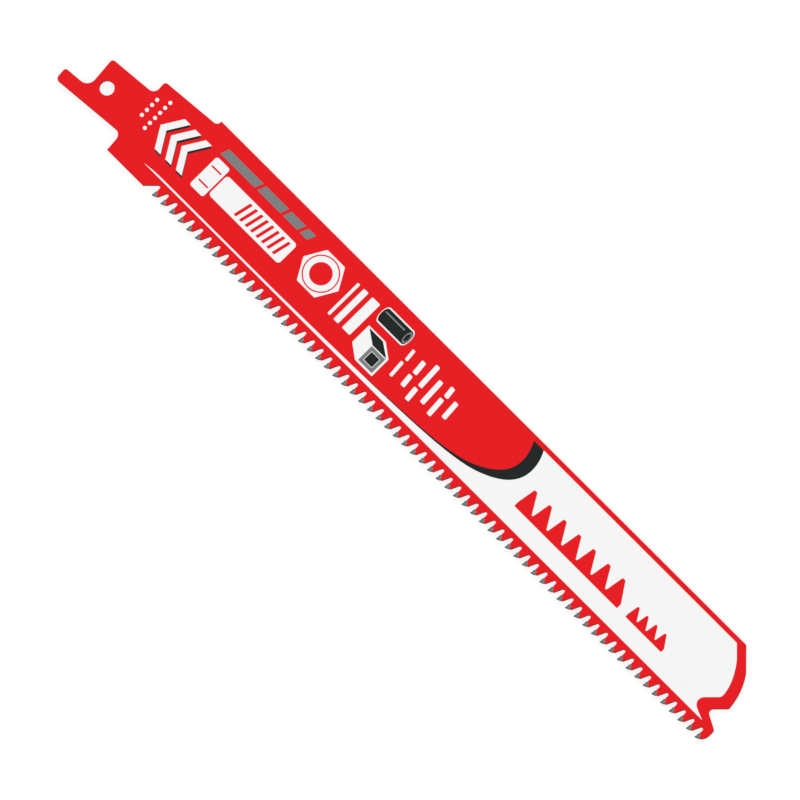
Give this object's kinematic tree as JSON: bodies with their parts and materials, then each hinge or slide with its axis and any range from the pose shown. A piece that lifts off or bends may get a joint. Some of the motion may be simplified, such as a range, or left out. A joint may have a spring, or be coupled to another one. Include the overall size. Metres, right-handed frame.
{
  "type": "reciprocating saw blade",
  "caption": "Flat carbide-tipped reciprocating saw blade with a notched and drilled tang, a bevelled nose and one toothed edge.",
  "frame": {"origin": "centre of the tang hole at mid thickness of the plate", "axes": "+X along the straight back edge from the tang to the nose, +Y from the teeth to the back edge, +Z out of the printed face"},
  "size_m": [0.2287, 0.0248, 0.0018],
  "materials": {
    "coated_steel": "smooth satin coat over spring steel",
    "ground_carbide": "fine ground matt grey"
  },
  "bodies": {
    "root": {"blade_plate": "coated_steel", "carbide_tips": "ground_carbide"}
  },
  "joints": []
}
